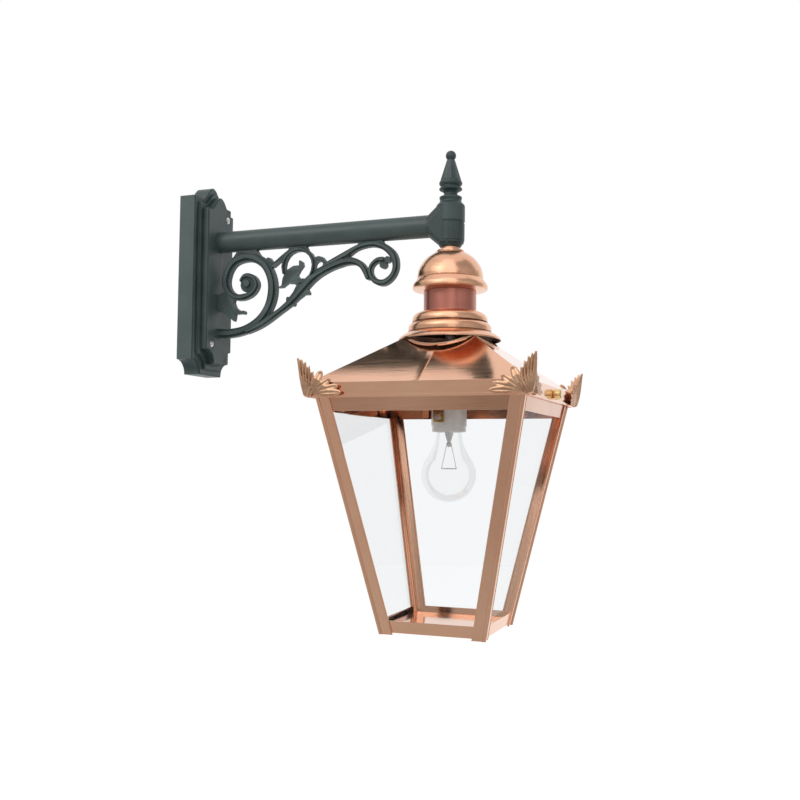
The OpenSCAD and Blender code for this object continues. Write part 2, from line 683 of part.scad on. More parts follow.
module leaf_at(sx, sy) {
    color(copper) translate([reach, 0, band_foot_z])
        mirror([sx > 0 ? 1 : 0, 0, 0]) mirror([0, sy > 0 ? 1 : 0, 0]) difference() {
            translate([-eave, -eave, 0]) corner_leaf();
            translate([-eave - bead_out, -eave - bead_out, -1]) cube([200, 200, bead_h + 1]);
            translate([-eave, -eave, -1]) cube([200, 200, fascia_h + 1]);
            translate([-reach, 0, -band_foot_z]) roof_mass(0, eave + 1);
        }
}

// Lampholder and lamp

module lamp_bracket() {
    arm_r = holder_d / 2;
    color(brass) translate([reach, 0, holder_foot_z + 10]) rotate(bracket_turn) difference() {
        translate([-arm_r - bracket_t, -7, 0]) cube([2 * (arm_r + bracket_t), 14, holder_h - 10 + bracket_t]);
        translate([-arm_r, -8, -1]) cube([2 * arm_r, 16, holder_h - 10 + 1]);
        translate([0, 0, 0]) cylinder(d = hanger_d, h = 2 * holder_h);
    }
}

module bracket_screws() {
    color(steel) translate([reach, 0, holder_foot_z + 16]) rotate(bracket_turn) for (s = [1, -1])
        translate([s * (holder_d / 2 + bracket_t), 0, 0]) rotate([0, s * 90, 0]) difference() {
            cylinder(d = 5.6, h = 2);
            translate([-3, -0.4, 1.2]) cube([6, 0.8, 1]);
        }
}

module lampholder() {
    color(ceramic) translate([reach, 0, holder_foot_z]) difference() {
        union() {
            cylinder(d = holder_d - 2, h = 6);
            translate([0, 0, 6]) cylinder(d = holder_d, h = holder_h - 8);
            translate([0, 0, holder_h - 2]) cylinder(d = holder_d - 3, h = 2);
        }
        translate([0, 0, -1]) cylinder(r = cap_r + 2.2, h = holder_h - 8);
        cylinder(d = hanger_d - 2 * hanger_wall, h = holder_h + 1);
    }
}

module lampholder_shell() {
    foot_z = holder_foot_z + 4;
    end_z = cap_foot_z + cap_len - 2;   // the shoulder that the cap screws up to
    color(brass) translate([reach, 0, 0]) difference() {
        translate([0, 0, foot_z]) cylinder(r = cap_r + 2.2, h = end_z + 2 - foot_z);
        translate([0, 0, foot_z - 1]) cylinder(r = cap_r + 0.3, h = end_z + 1 - foot_z);
        translate([0, 0, foot_z]) cylinder(r = 5, h = holder_h);
    }
}

// The lamp's outline from its tip up to its cap
function lamp_line(wall) = let (r = lamp_r - wall) concat(
    [for (a = [-90 : 10 : 30]) [r * cos(a), lamp_r + r * sin(a)]],
    [[22.4 - wall, lamp_r + 20.4], [18.4 - wall, lamp_r + 27.6], [15.4 - wall, lamp_r + 35],
    [14.2 - wall, lamp_r + 42], [13.1 - wall, lamp_r + 48]]);

module lamp_glass() {
    color(glass) translate([reach, 0, lamp_tip_z]) rotate_extrude($fn = 64)
        polygon(concat(lamp_line(0), backwards(lamp_line(0.9))));
}

module lamp_cap() {
    color(steel) translate([reach, 0, cap_foot_z]) difference() {
        union() {
            cylinder(r = cap_r, h = cap_len - 6);
            translate([0, 0, cap_len - 6]) cylinder(r1 = cap_r, r2 = 5, h = 4);
            translate([0, 0, cap_len - 2]) cylinder(r = 4, h = 2);
        }
        translate([0, 0, -1]) cylinder(r = cap_r - 0.6, h = cap_len - 6);
    }
}

module lamp_filament() {
    stem_foot = 67;
    bead_z = 63;
    coil_z = 36.5;
    coil_half = 8.5;
    wire_in = 2.6;
    wire_lean = atan((coil_half - wire_in) / (bead_z - coil_z));
    color(glass) translate([reach, 0, lamp_tip_z]) {
        translate([0, 0, stem_foot]) cylinder(r1 = 2.4, r2 = 5, h = glass_len - 2 - stem_foot);
        translate([0, 0, glass_len - 2]) cylinder(r1 = 5, r2 = 12, h = 2);
        translate([0, 0, bead_z]) cylinder(r = 2, h = stem_foot - bead_z);
        translate([0, 0, bead_z]) sphere(r = 3, $fn = 24);
        for (s = [1, -1]) translate([s * wire_in, 0, bead_z]) rotate([0, 180 - s * wire_lean, 0])
            cylinder(r = 0.35, h = (bead_z - coil_z) / cos(wire_lean), $fn = 13);
        translate([-coil_half, 0, coil_z]) rotate([0, 90, 0]) cylinder(r = 0.6, h = 2 * coil_half, $fn = 13);
    }
}

// Glazed body

// The space inside the four sloping faces, drawn in by a depth, between two heights
module body_mass(depth, z0, z1) {
    w0 = half_at(z0) - depth / cos(face_tilt);
    w1 = half_at(z1) - depth / cos(face_tilt);
    translate([reach, 0, z0]) linear_extrude(z1 - z0, scale = w1 / w0) square(2 * w0, center = true);
}

module sloping_band(depth, wall, z0, z1) {
    difference() {
        body_mass(depth, z0, z1);
        body_mass(depth + wall, z0 - 1, z1 + 1);
    }
}

module top_frame() {
    notch = hinge_len + 8;
    slot_w = knob_thread_d + 0.8;
    color(copper) {
        sloping_band(rail_in, rail_t, band_foot_z - top_rail_h, flange_z);
        difference() {
            square_ring(flange_half, flange_half - half_at(flange_z) + rail_in + 2 * rail_t,
                flange_z, flange_z + flange_t);
            translate([hinge_x - 4, -notch / 2, flange_z - 1]) cube([6.4, notch, 4]);
        }
        difference() {
            translate([lug_x, -9, flange_z]) cube([lug_t, 18, knob_z - flange_z + 5]);
            translate([lug_x - 1, 0, knob_z]) {
                rotate([0, 90, 0]) cylinder(d = slot_w, h = lug_t + 2);
                translate([0, -slot_w / 2, 0]) cube([lug_t + 2, slot_w, 10]);
            }
        }
    }
}

// A post's section, square to the corner edge: the nose and two flanges with a hem on each
corner_run = sqrt(2) * batter;
post_tilt = atan(corner_run);
post_half_angle = 46.2;
post_foot = 2;   // how far the posts reach below the foot rails

hem_r = 1;

module post_section() {
    for (s = [1, -1]) rotate(180 + s * post_half_angle) translate([0, s > 0 ? -post_t : 0]) {
        square([post_flange, post_t]);
        translate([post_flange - hem_r, post_t / 2])
            circle(r = hem_r, $fn = 16);
    }
    translate([-0.9, 0]) circle(r = post_nose_r, $fn = 24);
}

module post_at(sx, sy) {
    run = body_h / cos(post_tilt) + 60;
    head_z = band_foot_z - top_rail_h;
    color(copper) difference() {
        intersection() {
            translate([reach + sx * body_foot, sy * body_foot, body_foot_z]) rotate(atan2(sy, sx))
                rotate([0, post_tilt, 0]) translate([0, 0, -30]) linear_extrude(run) post_section();
            translate([reach - eave, -eave, body_foot_z - post_foot])
                cube([eave_w, eave_w, post_foot + flange_z - body_foot_z]);
        }
        body_mass(rail_in - slip, head_z - slip, flange_z + 1);
        body_mass(rail_in - slip, body_foot_z - slip, body_foot_z + foot_rail_h + slip);
    }
}

module base_tray() {
    floor_z = body_foot_z + 5;
    color(copper) {
        sloping_band(rail_in, rail_t, body_foot_z, body_foot_z + foot_rail_h);
        body_mass(rail_in + rail_t / 2, floor_z, floor_z + 1.2);
    }
}

glass_foot_z = body_foot_z + 6.2;
glass_top_z = band_foot_z - 2;
glass_side = glass_in + glass_t + 1.2;   // from a corner of the body to the edge of a pane

// A pane in the face that looks along +X, turned to the other faces
module pane(turn) {
    w_foot = half_at(glass_foot_z) - glass_side;
    w_top = half_at(glass_top_z) - glass_side;
    color(glass) translate([reach, 0, 0]) rotate(turn) intersection() {
        difference() {
            translate([-reach, 0, 0]) body_mass(glass_in, glass_foot_z, glass_top_z);
            translate([-reach, 0, 0]) body_mass(glass_in + glass_t, glass_foot_z - 1, glass_top_z + 1);
        }
        rotate([90, 0, 90]) linear_extrude(eave_w) polygon([[-w_foot, glass_foot_z], [w_foot, glass_foot_z],
            [w_top, glass_top_z], [-w_top, glass_top_z]]);
    }
}

// Small folded tabs that hold the glass, two at each pane's head and foot
module glazing_clips() {
    clip_t = 0.8;
    tab = 8;
    clip_y = body_top - 47;   // from the middle of a pane to a clip
    for (turn = [0 : 90 : 270], s = [1, -1])
        color(copper) translate([reach, 0, 0]) rotate(turn) intersection() {
        difference() {
            translate([-reach, 0, 0]) body_mass(post_t + rail_t, band_foot_z - top_rail_h, glass_top_z + 1.4);
            translate([-reach, 0, 0]) body_mass(glass_in - glass_gap, glass_foot_z, band_foot_z - top_rail_h);
            translate([-reach, 0, 0]) body_mass(glass_in + glass_t + clip_t, body_foot_z, glass_top_z + 2);
            translate([-reach, 0, 0]) difference() {
                body_mass(0, band_foot_z - 40, glass_top_z);
                body_mass(glass_in + glass_t, band_foot_z - 41, glass_top_z + 1);
            }
        }
        translate([0, s * clip_y - tab / 2, band_foot_z - 12]) cube([eave_w, tab, 20]);
    }
}

// Hinge on the wall side
knuckle_l = hinge_len / 3;

module knuckle(y0, y1) {
    translate([hinge_x, y0, hinge_z]) rotate([-90, 0, 0]) cylinder(r = knuckle_r, h = y1 - y0, $fn = 32);
}
module pin_bore() {
    translate([hinge_x, -hinge_len, hinge_z]) rotate([-90, 0, 0])
        cylinder(r = pin_r + slip, h = 2 * hinge_len, $fn = 32);
}

module hinge_roof_leaf() {
    leaf_x = reach - eave + sheet_t;
    color(brass) difference() {
        for (s = [1, -1]) {
            y0 = s > 0 ? knuckle_l / 2 + 0.2 : -hinge_len / 2;
            y1 = s > 0 ? hinge_len / 2 : -knuckle_l / 2 - 0.2;
            knuckle(y0, y1);
            translate([leaf_x, y0, hinge_z]) cube([hinge_leaf_t, y1 - y0, hinge_leaf_h]);
            translate([leaf_x, -hinge_len / 2, hinge_z + knuckle_r + 0.4])
                cube([hinge_leaf_t, hinge_len, hinge_leaf_h - knuckle_r - 0.4]);
        }
        pin_bore();
    }
}

module hinge_body_leaf() {
    rail_x = reach - half_at(hinge_z - 6) + rail_in / cos(face_tilt);
    color(brass) difference() {
        union() {
            knuckle(-knuckle_l / 2, knuckle_l / 2);
            translate([hinge_x, -knuckle_l / 2, hinge_z - knuckle_r])
                cube([rail_x - hinge_x + 2, knuckle_l, hinge_leaf_t]);
            intersection() {
                difference() {
                    body_mass(rail_in - hinge_leaf_t, hinge_z - 11, hinge_z - knuckle_r + hinge_leaf_t);
                    body_mass(rail_in, hinge_z - 12, hinge_z);
                }
                translate([hinge_x, -hinge_len / 2, hinge_z - 12]) cube([14, hinge_len, 20]);
            }
        }
        pin_bore();
        body_mass(rail_in, hinge_z - 20, hinge_z + 3);
    }
}

module hinge_pin() {
    color(steel) translate([hinge_x, -hinge_len / 2 - 1, hinge_z]) rotate([-90, 0, 0]) {
        cylinder(r = pin_r, h = hinge_len + 1.6, $fn = 32);
        cylinder(r = pin_r + 0.8, h = 0.95, $fn = 32);
    }
}

// Catch: the thumb screw draws the slotted lug of the body against the front band
module catch_bracket() {
    w = 18;
    top_z = knob_z + 6.6;
    foot_z = flange_z + flange_t + seat;
    color(brass) difference() {
        union() {
            translate([catch_x - catch_t, -w / 2, foot_z]) cube([catch_t, w, top_z - foot_z]);
            translate([catch_x - catch_t, -w / 2, top_z - 1]) cube([front_in - catch_x + catch_t, w, 1]);
        }
        translate([catch_x - catch_t - 1, 0, knob_z]) rotate([0, 90, 0])
            cylinder(r = knob_thread_d / 2 + slip, h = catch_t + 2, $fn = 32);
    }
}

module catch_knob() {
    head_x = reach + eave + 0.3;
    flutes = 16;
    color(brass) translate([0, 0, knob_z]) rotate([0, 90, 0]) {
        translate([0, 0, catch_x - catch_t - 1.5])
            cylinder(d = knob_thread_d, h = head_x - catch_x + catch_t + 2, $fn = 32);
        translate([0, 0, head_x]) difference() {
            union() {
                cylinder(d = knob_d - 2.4, h = 1.4);
                translate([0, 0, 1.2]) cylinder(d = knob_d, h = knob_len - 2.6);
                translate([0, 0, knob_len - 1.5]) cylinder(d1 = knob_d, d2 = knob_d - 3, h = 1.5);
            }
            for (i = [0 : flutes - 1]) rotate(i * 360 / flutes) translate([knob_d / 2 + 0.25, 0, 1.2])
                cylinder(r = 0.6, h = knob_len, $fn = 16);
        }
    }
}

wall_plate();
mounting_strap();
plate_screws();
terminal_block();
terminal_screws();
arm_tube();
scroll_casting();
arm_fitting();
finial();
hanger_tube();
hanger_nuts();
neck_collar();
chimney_dome();
chimney_drum();
chimney_skirt();
roof();
roof_crossbar();
leaf_at(-1, -1);  // leaf_wall_near
leaf_at(-1, 1);  // leaf_wall_far
leaf_at(1, -1);  // leaf_front_near
leaf_at(1, 1);  // leaf_front_far
lamp_bracket();
bracket_screws();
lampholder();
lampholder_shell();
lamp_glass();
lamp_cap();
lamp_filament();
top_frame();
post_at(-1, -1);  // post_wall_near
post_at(-1, 1);  // post_wall_far
post_at(1, -1);  // post_front_near
post_at(1, 1);  // post_front_far
base_tray();
pane(180);  // glass_wall
pane(0);  // glass_front
pane(270);  // glass_near
pane(90);  // glass_far
glazing_clips();
hinge_roof_leaf();
hinge_body_leaf();
hinge_pin();
catch_bracket();
catch_knob();
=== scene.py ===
# %% [markdown]
# # An outdoor wall light in copper and cast iron
# A square copper lantern hangs from a dark scroll bracket. The solids come from the CAD model and
# stay where they are. Here they get their finish: softened edges, polished and brushed metal, clear
# glass, satin paint, a studio and the camera of the photograph. Pieces whose form the solids only
# sketch, such as the corner leaves, are modelled anew in the same place.

import json
import math

import bpy
from mathutils import Matrix, Vector

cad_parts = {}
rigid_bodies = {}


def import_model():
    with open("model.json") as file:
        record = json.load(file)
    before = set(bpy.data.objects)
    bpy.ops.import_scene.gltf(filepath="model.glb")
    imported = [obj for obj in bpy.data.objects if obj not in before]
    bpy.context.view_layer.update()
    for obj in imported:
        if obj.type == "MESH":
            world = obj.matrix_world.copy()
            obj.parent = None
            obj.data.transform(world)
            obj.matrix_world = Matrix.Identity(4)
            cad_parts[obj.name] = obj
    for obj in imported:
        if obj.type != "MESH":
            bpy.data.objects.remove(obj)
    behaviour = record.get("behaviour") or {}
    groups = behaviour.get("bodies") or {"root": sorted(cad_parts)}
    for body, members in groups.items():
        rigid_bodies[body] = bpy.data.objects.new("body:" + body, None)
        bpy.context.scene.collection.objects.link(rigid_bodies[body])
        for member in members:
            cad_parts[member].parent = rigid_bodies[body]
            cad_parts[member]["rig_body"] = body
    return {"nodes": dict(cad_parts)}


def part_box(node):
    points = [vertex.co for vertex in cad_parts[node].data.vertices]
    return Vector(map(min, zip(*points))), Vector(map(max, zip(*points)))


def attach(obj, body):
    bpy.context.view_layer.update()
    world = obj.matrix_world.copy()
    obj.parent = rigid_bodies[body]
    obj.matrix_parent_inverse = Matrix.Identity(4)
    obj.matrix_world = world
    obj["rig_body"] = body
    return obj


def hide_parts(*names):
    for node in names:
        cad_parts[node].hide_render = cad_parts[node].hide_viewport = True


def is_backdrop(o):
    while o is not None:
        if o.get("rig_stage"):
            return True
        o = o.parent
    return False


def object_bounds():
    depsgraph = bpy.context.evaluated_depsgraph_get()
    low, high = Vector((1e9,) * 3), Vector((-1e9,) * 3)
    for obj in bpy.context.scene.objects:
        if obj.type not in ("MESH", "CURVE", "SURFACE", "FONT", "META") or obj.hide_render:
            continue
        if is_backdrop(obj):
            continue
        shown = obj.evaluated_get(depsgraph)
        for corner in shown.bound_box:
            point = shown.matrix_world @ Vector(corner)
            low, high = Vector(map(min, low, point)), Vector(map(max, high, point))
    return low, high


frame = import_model()
cad_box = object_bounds()
nodes = frame["nodes"]
body_of_node = {node: obj["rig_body"] for node, obj in nodes.items()}
MM = 0.001
print("solids:", len(nodes), "box in mm:", [round(v / MM) for v in (cad_box[1] - cad_box[0])])


# %% [markdown]
# ## Places on the lantern
# The few places that several pieces share are measured on the solids themselves, so that nothing
# here has to be fitted by eye: the lantern's axis, the eaves, the foot of the upright band.

# %% Measure the lantern
dome_low, dome_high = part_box("chimney_dome")
roof_low, roof_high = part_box("roof")
AXIS_X = (dome_low.x + dome_high.x) / 2
BAND_FOOT = roof_low.z
BEAD_OUT = 1.2 * MM
EAVE = (roof_high.y - roof_low.y) / 2 - BEAD_OUT
print("axis at", round(AXIS_X / MM, 1), "eave", round(EAVE / MM, 1), "band foot", round(BAND_FOOT / MM, 1))


# %% [markdown]
# ## Working on one piece at a time
# Blender's operators act on whatever is selected, and the solids arrive selected. These helpers
# clear the selection, make one object active and open it for editing, which is what a click and the
# Tab key do by hand.

# %% Selection helpers
def deselect():
    if bpy.context.object and bpy.context.object.mode != "OBJECT":
        bpy.ops.object.mode_set(mode="OBJECT")
    bpy.ops.object.select_all(action="DESELECT")


def pick(obj):
    deselect()
    obj.select_set(True)
    bpy.context.view_layer.objects.active = obj
    return obj


def edit(obj, select="SELECT"):
    """Opens a mesh for editing. With select None, what was selected in code stays selected."""
    pick(obj)
    bpy.ops.object.mode_set(mode="EDIT")
    if select:
        bpy.ops.mesh.select_all(action=select)


def leave():
    bpy.ops.object.mode_set(mode="OBJECT")


# %% [markdown]
# ## Eased edges
# A solid straight from CAD has edges of no width, which catch no light. On the real lantern every
# casting edge is rounded by its mould and its paint, and every folded edge has a small radius. So
# each solid is copied, its loose triangles are welded, flat areas are cleared of needless edges, and
# a bevel as wide as the real radius runs along what is still sharp. The normals are then weighted by
# area, so that a flat sheet stays flat in reflections right up to its rounded edge.

# %% Copy a solid and ease its edges
WELD_GAP = 0.004 * MM
FLAT_WITHIN = math.radians(0.6)
SHARP_FROM = math.radians(32)


def eased(node, width):
    """A welded copy of a solid with rounded edges, standing for it and riding with it."""
    source = nodes[node]
    piece = bpy.data.objects.new(node + "_eased", source.data.copy())
    bpy.context.scene.collection.objects.link(piece)
    edit(piece)
    bpy.ops.mesh.remove_doubles(threshold=WELD_GAP)
    bpy.ops.mesh.dissolve_limited(angle_limit=FLAT_WITHIN)
    leave()
    if width:
        rounding = piece.modifiers.new("rounding", "BEVEL")
        rounding.width = width * MM
        rounding.segments = 2
        rounding.limit_method = "ANGLE"
        rounding.angle_limit = SHARP_FROM
        rounding.use_clamp_overlap = True
        bpy.ops.object.modifier_apply(modifier=rounding.name)
    bpy.ops.object.shade_smooth_by_angle(angle=SHARP_FROM)
    flats = piece.modifiers.new("flats", "WEIGHTED_NORMAL")
    flats.weight, flats.keep_sharp = 100, True
    bpy.ops.object.modifier_apply(modifier=flats.name)
    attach(piece, body_of_node[node])
    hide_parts(node)
    return piece


# %% [markdown]
# ## Shader maths in plain Python
# A finish is a small calculation on positions and noise. A Wire stands for one socket, so that the
# calculation can be written with + - * and read like any other, also with the number first, as in
# 1 - mask. A Board makes the nodes of one tree, and a Finish is the board of one material. Colours go
# through Mix nodes, because a Math node would turn them grey.

# %% Wire
class Wire:
    """One socket. Sums with it add a Math node for each step."""

    def __init__(self, board, socket):
        self.board, self.socket = board, socket

    def math(self, operation, other, swap=False):
        pair = (other, self) if swap else (self, other)
        return self.board.node("ShaderNodeMath", {"operation": operation}, dict(enumerate(pair)))

    def __add__(self, other):
        return self.math("ADD", other)

    def __radd__(self, other):
        return self.math("ADD", other, swap=True)

    def __sub__(self, other):
        return self.math("SUBTRACT", other)

    def __rsub__(self, other):
        return self.math("SUBTRACT", other, swap=True)

    def __mul__(self, other):
        return self.math("MULTIPLY", other)

    def __rmul__(self, other):
        return self.math("MULTIPLY", other, swap=True)

    def clamp(self):
        return self.math("MINIMUM", 1.0).math("MAXIMUM", 0.0)


# %% Board
class Board:
    """A tree of shader nodes. One method adds any node, sets its values and links its wires."""

    def __init__(self, tree):
        self.tree = tree

    def node(self, kind, settings=None, values=None, output=0):
        made = self.tree.nodes.new(kind)
        for key, value in (settings or {}).items():
            setattr(made, key, value)
        for key, value in (values or {}).items():
            if isinstance(value, Wire):
                self.tree.links.new(value.socket, made.inputs[key])
            else:
                made.inputs[key].default_value = value
        return Wire(self, made.outputs[output] if made.outputs else None)

    def showing(self):
        """1 for rays that show a surface, straight, in a mirror or through glass, and 0 for the rest."""
        camera, mirror, glass = (self.node("ShaderNodeLightPath", output=f"Is {kind} Ray")
                                 for kind in ("Camera", "Glossy", "Transmission"))
        return camera.math("MAXIMUM", mirror).math("MAXIMUM", glass)


# %% Finish
# a Mix node's colour sockets go by number, because its other kinds use the same names
MIX_LOW, MIX_HIGH, MIX_RESULT = 6, 7, 2
# pointiness is 0.5 where a mesh is flat, more on a ridge and less in a groove
RIDGE_FROM, RIDGE_SPAN = 0.51, 0.06
GROOVE_FROM, GROOVE_FULL = 0.49, 0.44


class Finish(Board):
    """One material: its Principled shader's constants, and the wires that vary over the surface."""

    def __init__(self, name, color, roughness, metallic=0.0, **constants):
        self.material = bpy.data.materials.new(name)
        self.material.use_nodes = True
        super().__init__(self.material.node_tree)
        self.shader = self.tree.nodes["Principled BSDF"]
        self.shader.inputs["Base Color"].default_value = (*color, 1)
        self.shader.inputs["Roughness"].default_value = roughness
        self.shader.inputs["Metallic"].default_value = metallic
        for socket, value in constants.items():
            self.shader.inputs[socket.replace("_", " ")].default_value = value
        self.place = self.node("ShaderNodeTexCoord", output="Object")

    def noise(self, scale, detail=3.0, stretch=(1, 1, 1)):
        """Soft noise around 0.5, with about scale lumps to the metre."""
        spot = self.node("ShaderNodeMapping", values={"Vector": self.place, "Scale": stretch})
        return self.node("ShaderNodeTexNoise", values={"Vector": spot, "Scale": scale, "Detail": detail})

    def blend(self, mask, low, high):
        """A colour that runs from low where mask is 0 to high where it is 1."""
        low, high = (color if isinstance(color, Wire) else (*color, 1) for color in (low, high))
        values = {"Factor": mask, MIX_LOW: low, MIX_HIGH: high}
        return self.node("ShaderNodeMix", {"data_type": "RGBA"}, values, output=MIX_RESULT)

    def span(self, wire, low, high, to_low, to_high):
        values = {"Value": wire, "From Min": low, "From Max": high, "To Min": to_low, "To Max": to_high}
        return self.node("ShaderNodeMapRange", values=values)

    def clouds(self, scale, detail=3.0):
        """Noise spread out from 0 to 1, for slow changes of tint."""
        return self.span(self.noise(scale, detail), 0.35, 0.65, 0, 1)

    def wear_and_highlight(self, sharpness=1.0):
        """Near 1 on edges that stick out: polish or thin paint there, and a painted highlight."""
        point = self.node("ShaderNodeNewGeometry", output="Pointiness")
        return self.span(point, RIDGE_FROM, RIDGE_FROM + RIDGE_SPAN / sharpness, 0.0, 1.0)

    def hollow(self):
        """Near 1 in grooves, where shade is painted in."""
        point = self.node("ShaderNodeNewGeometry", output="Pointiness")
        return self.span(point, GROOVE_FROM, GROOVE_FULL, 0.0, 1.0)

    def feed(self, socket, wire):
        self.tree.links.new(wire.socket, self.shader.inputs[socket])

    def bump(self, height, strength, distance):
        values = {"Height": height, "Strength": strength, "Distance": distance}
        self.feed("Normal", self.node("ShaderNodeBump", values=values))


# %% [markdown]
# ## Satin paint on cast metal
# The bracket is painted a very dark green-grey. Under the paint is a casting, so the surface has a
# fine orange peel that breaks up the reflections, and the edges are a touch paler: thin paint there,
# and in part a painted highlight. Dust and handling vary the gloss a little.

# %% Bracket paint
def bracket_paint():
    finish = Finish("bracket_paint", (0.024, 0.047, 0.046), 0.42, Specular_IOR_Level=0.38)
    cloud = finish.noise(38, 4)
    grain = finish.noise(900, 2)
    deep = finish.blend(finish.span(cloud, 0.35, 0.65, 0, 1),
                        (0.015, 0.029, 0.029), (0.026, 0.047, 0.046))
    # paler edges: thinner paint, and in part a painted highlight along the mouldings
    finish.feed("Base Color", finish.blend(finish.wear_and_highlight() * 0.55, deep, (0.10, 0.135, 0.13)))
    finish.feed("Roughness", finish.span(cloud, 0.3, 0.7, 0.36, 0.5))
    finish.bump(grain + finish.noise(260, 2) * 1.5, 0.22, 0.0004)
    return finish.material


PAINT = bracket_paint()
print("made", PAINT.name)


# %% [markdown]
# ## Copper, spun and folded
# The chimney is spun on a lathe and polished, so its reflections are crisp and it carries the
# faintest turning lines. The roof, posts and rails are folded from brushed sheet: the same metal with
# softer, streaked reflections. Both are lacquered, which keeps the colour a light, fresh copper with
# slow changes of tint where the lacquer is thicker.

# %% Copper finishes
COPPER_PALE = (0.88, 0.53, 0.36)
COPPER_DEEP = (0.80, 0.43, 0.28)
COPPER_WARM = (0.85, 0.48, 0.30)
TURNED = (0.02, 0.02, 1)
BRUSHED_LEVEL, BRUSHED_UPRIGHT = (0.03, 0.03, 1.0), (1.0, 1.0, 0.02)


def spun_copper(name, pale, deep, rough=(0.19, 0.3)):
    finish = Finish(name, pale, 0.2, 1.0, Coat_Weight=0.2, Coat_Roughness=0.1)
    tint = finish.clouds(14)
    finish.feed("Base Color", finish.blend(tint, deep, pale))
    rings = finish.noise(700, 2, TURNED)
    finish.feed("Roughness", finish.span(rings, 0.3, 0.7, *rough))
    finish.bump(rings, 0.05, 0.0002)
    return finish.material


def brushed_copper(name, along, rough, deep=COPPER_DEEP, pale=COPPER_PALE):
    """Sheet brushed along one direction: the streaks are long on that axis and fine across it."""
    finish = Finish(name, pale, 0.3, 1.0, Coat_Weight=0.2, Coat_Roughness=0.15)
    cloud = finish.clouds(9, 4)
    streak = finish.noise(1100, 3, along)
    tint = cloud * 0.7 + finish.span(streak, 0.3, 0.7, 0, 0.3)
    finish.feed("Base Color", finish.blend(tint, deep, pale))
    finish.feed("Roughness", finish.span(streak, 0.3, 0.7, *rough))
    finish.bump(streak + finish.noise(7, 2) * 2.0, 0.06, 0.0005)
    return finish.material


SPUN = spun_copper("spun_copper", COPPER_WARM, COPPER_DEEP)
# the drum is less polished, and its darker red-brown is painted shade under the dome
SHADED_DRUM_COPPER = spun_copper("shaded_drum_copper", (0.52, 0.20, 0.15), (0.36, 0.13, 0.10), (0.28, 0.4))
ROOF_COPPER = brushed_copper("roof_copper", BRUSHED_LEVEL, (0.07, 0.14))
POST_COPPER = brushed_copper("post_copper", BRUSHED_UPRIGHT, (0.14, 0.24))
# under the eaves the sheet is painted browner: painted shade from the roof's overhang
SHADED_RAIL_COPPER = brushed_copper("shaded_rail_copper", BRUSHED_LEVEL, (0.12, 0.22),
                             deep=(0.56, 0.29, 0.18), pale=(0.72, 0.41, 0.27))
print("made", SPUN.name, SHADED_DRUM_COPPER.name, ROOF_COPPER.name, POST_COPPER.name, SHADED_RAIL_COPPER.name)


# %% [markdown]
# ## Small metals, ceramic and glass
# The cast leaves are duller and browner than the sheet: darkest in their hollows, which is painted
# shade, and brightest on their ridges, which is partly polish and partly a painted highlight. Brass and
# zinc are small, so a slow tint and a soft change of gloss are enough. Window glass is drawn as a clear
# film that mirrors more at a slant, which keeps the inside of the lantern lit.

# %% Other finishes
def cast_copper():
    finish = Finish("cast_copper", (0.66, 0.40, 0.25), 0.3, 1.0, Coat_Weight=0.06, Coat_Roughness=0.25)
    cloud = finish.clouds(60)
    body = finish.blend(cloud, (0.46, 0.26, 0.16), (0.60, 0.37, 0.24))
    # painted shade in the grooves
    body = finish.blend(finish.hollow(), body, (0.20, 0.10, 0.06))
    # paler ridges: polish, and in part a painted highlight
    finish.feed("Base Color", finish.blend(finish.wear_and_highlight(1.2), body, (0.74, 0.43, 0.28)))
    finish.feed("Roughness", finish.span(cloud, 0, 1, 0.3, 0.44))
    finish.bump(finish.noise(420, 2), 0.12, 0.0003)
    return finish.material


def small_metal(name, low, high, rough, metallic=1.0):
    finish = Finish(name, high, rough, metallic)
    cloud = finish.clouds(80)
    finish.feed("Base Color", finish.blend(cloud, low, high))
    finish.feed("Roughness", finish.span(finish.noise(500, 2), 0.3, 0.7, rough * 0.8, rough * 1.3))
    return finish.material


def glazed_ceramic():
    finish = Finish("glazed_ceramic", (0.72, 0.72, 0.68), 0.2, Coat_Weight=0.4, Coat_Roughness=0.08)
    cloud = finish.clouds(50)
    finish.feed("Base Color", finish.blend(cloud, (0.62, 0.62, 0.58), (0.76, 0.76, 0.73)))
    return finish.material


def clear_film(name, tint, mirror):
    """Glass as a clear film: see-through face on, a mirror at a slant."""
    finish = Finish(name, (1, 1, 1), 0.0)
    slant = finish.node("ShaderNodeLayerWeight", values={"Blend": 0.25}, output="Fresnel")
    clear = finish.node("ShaderNodeBsdfTransparent", values={"Color": (*tint, 1)})
    gloss = finish.node("ShaderNodeBsdfGlossy", values={"Roughness": 0.02})
    film = finish.node("ShaderNodeMixShader", values={0: (slant * mirror).clamp(), 1: clear, 2: gloss})
    finish.tree.links.new(film.socket, finish.tree.nodes["Material Output"].inputs["Surface"])
    finish.tree.nodes.remove(finish.shader)
    return finish.material


CAST = cast_copper()
WIRE = small_metal("lamp_wire", (0.62, 0.62, 0.60), (0.78, 0.78, 0.77), 0.3, 0.2)
# near-black copper: painted shade for the hidden faces under the chimney's brim
PAINTED_SHADE = small_metal("sooty_copper", (0.05, 0.03, 0.022), (0.11, 0.06, 0.04), 0.55)
BRASS = small_metal("polished_brass", (0.66, 0.47, 0.20), (0.86, 0.66, 0.36), 0.2)
ZINC = small_metal("zinc_plate", (0.55, 0.56, 0.57), (0.74, 0.75, 0.77), 0.3)
CAP_METAL = small_metal("lamp_cap_metal", (0.70, 0.70, 0.68), (0.88, 0.88, 0.86), 0.22)
CERAMIC = glazed_ceramic()
PANE = clear_film("pane_glass", (0.979, 0.983, 0.986), 0.15)
BULB = clear_film("lamp_glass", (0.982, 0.984, 0.984), 0.2)
print("finishes:", len(bpy.data.materials))


# %% [markdown]
# ## Dressing the solids
# Every solid whose shape is right gets an eased copy and its finish. The radius follows how the
# piece is made: about 1 mm on the large castings, a few tenths on folded sheet and turned parts, and
# none on glass.

